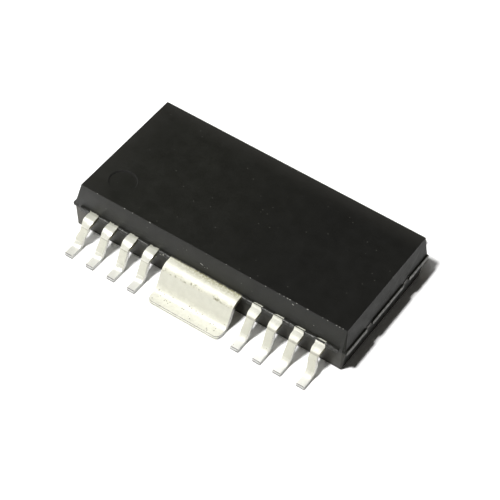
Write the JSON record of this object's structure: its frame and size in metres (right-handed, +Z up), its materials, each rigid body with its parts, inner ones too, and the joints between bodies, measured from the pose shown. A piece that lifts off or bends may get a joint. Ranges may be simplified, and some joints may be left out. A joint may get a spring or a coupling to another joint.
{
  "type": "integrated circuit chip",
  "caption": "Flat black moulded power chip with gull-wing leads along both long sides, a wide heat fin in the middle of each side and a round dimple by its first lead.",
  "frame": {"origin": "middle of the package on the seating plane, where the feet rest", "axes": "+X along the body, away from the dimple's end; +Y across it, away from the dimple's side; +Z up from the board"},
  "size_m": [0.013, 0.0096, 0.0023],
  "materials": {
    "mould_resin": "matte filled epoxy, spark-eroded texture",
    "tin_plate": "matte solder plate over copper alloy",
    "cut_copper": "bare copper alloy, sheared",
    "die_attach": "silver-filled adhesive",
    "silicon": "polished, passivated",
    "bond_wire": "drawn gold"
  },
  "bodies": {
    "root": {"mould_body": "mould_resin", "heat_spreader": "tin_plate", "die_attach": "die_attach", "silicon_die": "silicon", "lead_1": "tin_plate", "lead_2": "tin_plate", "lead_3": "tin_plate", "lead_4": "tin_plate", "lead_5": "tin_plate", "lead_6": "tin_plate", "lead_7": "tin_plate", "lead_8": "tin_plate", "lead_9": "tin_plate", "lead_10": "tin_plate", "lead_11": "tin_plate", "lead_12": "tin_plate", "lead_13": "tin_plate", "lead_14": "tin_plate", "lead_15": "tin_plate", "lead_16": "tin_plate", "tie_bar_1": "cut_copper", "tie_bar_2": "cut_copper", "tie_bar_3": "cut_copper", "tie_bar_4": "cut_copper", "bond_wire_1": "bond_wire", "bond_wire_2": "bond_wire", "bond_wire_3": "bond_wire", "bond_wire_4": "bond_wire", "bond_wire_5": "bond_wire", "bond_wire_6": "bond_wire", "bond_wire_7": "bond_wire", "bond_wire_8": "bond_wire", "bond_wire_9": "bond_wire", "bond_wire_10": "bond_wire", "bond_wire_11": "bond_wire", "bond_wire_12": "bond_wire", "bond_wire_13": "bond_wire", "bond_wire_14": "bond_wire", "bond_wire_15": "bond_wire", "bond_wire_16": "bond_wire"}
  },
  "joints": []
}
